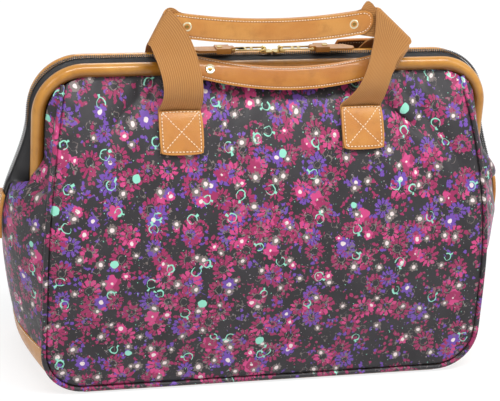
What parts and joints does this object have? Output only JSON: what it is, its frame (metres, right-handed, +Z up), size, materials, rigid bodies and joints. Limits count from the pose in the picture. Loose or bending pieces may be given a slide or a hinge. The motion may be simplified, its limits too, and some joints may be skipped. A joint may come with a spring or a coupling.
{
  "type": "framed travel satchel",
  "caption": "Printed cloth travel satchel with tubular mouth frames, a top zip with gold pulls, leather corners and webbing carry handles.",
  "frame": {"origin": "middle of the overall box at the floor the satchel stands on", "axes": "+X to the right along the mouth, +Y to the back, +Z up; the front panel faces -Y"},
  "size_m": [0.5414, 0.1872, 0.3992],
  "materials": {
    "printed_cloth": "coated printed cloth, satin, small flowers on charcoal",
    "tan_leather": "smooth glossy tan leather with cream stitching",
    "dark_leather": "dark brown leather with a tan edge",
    "webbing": "ribbed tan webbing",
    "zip_tape": "black satin zip tape",
    "zip_coil": "dark grey nylon coil",
    "gold_metal": "polished pale gold plating",
    "steel": "plain steel rod",
    "board": "grey stiffening board"
  },
  "bodies": {
    "bag": {"front_panel": "printed_cloth", "back_panel": "printed_cloth", "gusset_left": "printed_cloth", "gusset_right": "printed_cloth", "base_panel": "tan_leather", "base_board": "board", "corner_cap_left": "tan_leather", "corner_cap_right": "tan_leather", "piping_front": "printed_cloth", "piping_back": "printed_cloth", "frame_rod_front": "steel", "frame_rod_back": "steel", "frame_cover_front": "tan_leather", "frame_cover_back": "tan_leather", "hinge_rivet_left": "steel", "hinge_rivet_right": "steel", "zip_tape_front": "zip_tape", "zip_tape_back": "zip_tape", "zip_coil_front": "zip_coil", "zip_coil_back": "zip_coil", "zip_end_left": "tan_leather", "zip_end_right": "tan_leather", "patch_front_left": "tan_leather", "patch_front_right": "tan_leather", "patch_back_left": "tan_leather", "patch_back_right": "tan_leather", "webbing_front": "webbing", "webbing_back": "webbing", "grip_front": "tan_leather", "grip_back": "tan_leather", "grip_lining_front": "tan_leather", "grip_lining_back": "tan_leather", "rivet_front_left": "gold_metal", "rivet_front_right": "gold_metal", "rivet_back_left": "gold_metal", "rivet_back_right": "gold_metal", "luggage_tag": "dark_leather", "tag_strap": "dark_leather"},
    "slider_left": {"slider_left": "gold_metal"},
    "slider_right": {"slider_right": "gold_metal"},
    "pull_left": {"pull_left": "gold_metal"},
    "pull_right": {"pull_right": "gold_metal"},
    "tab_left": {"pull_tab_left": "tan_leather", "tab_rivet_left": "gold_metal"},
    "tab_right": {"pull_tab_right": "tan_leather", "tab_rivet_right": "gold_metal"}
  },
  "joints": [
    {"name": "slider_left_slide", "type": "slide", "parent": "bag", "child": "slider_left", "axis": [-1, 0, 0], "range_m": [0, 0.165]},
    {"name": "slider_right_slide", "type": "slide", "parent": "bag", "child": "slider_right", "axis": [1, 0, 0], "range_m": [0, 0.165]},
    {"name": "pull_left_hinge", "type": "hinge", "parent": "slider_left", "child": "pull_left", "pos_m": [-0.00075, 0, 0.33915], "axis": [0, 1, 0], "range_deg": [0, 120]},
    {"name": "pull_right_hinge", "type": "hinge", "parent": "slider_right", "child": "pull_right", "pos_m": [0.01675, 0, 0.33915], "axis": [0, -1, 0], "range_deg": [0, 120]},
    {"name": "tab_left_hinge", "type": "hinge", "parent": "pull_left", "child": "tab_left", "pos_m": [-0.03375, 0, 0.33915], "axis": [0, 1, 0], "range_deg": [0, 70]},
    {"name": "tab_right_hinge", "type": "hinge", "parent": "pull_right", "child": "tab_right", "pos_m": [0.04975, 0, 0.33915], "axis": [0, -1, 0], "range_deg": [0, 70]}
  ]
}
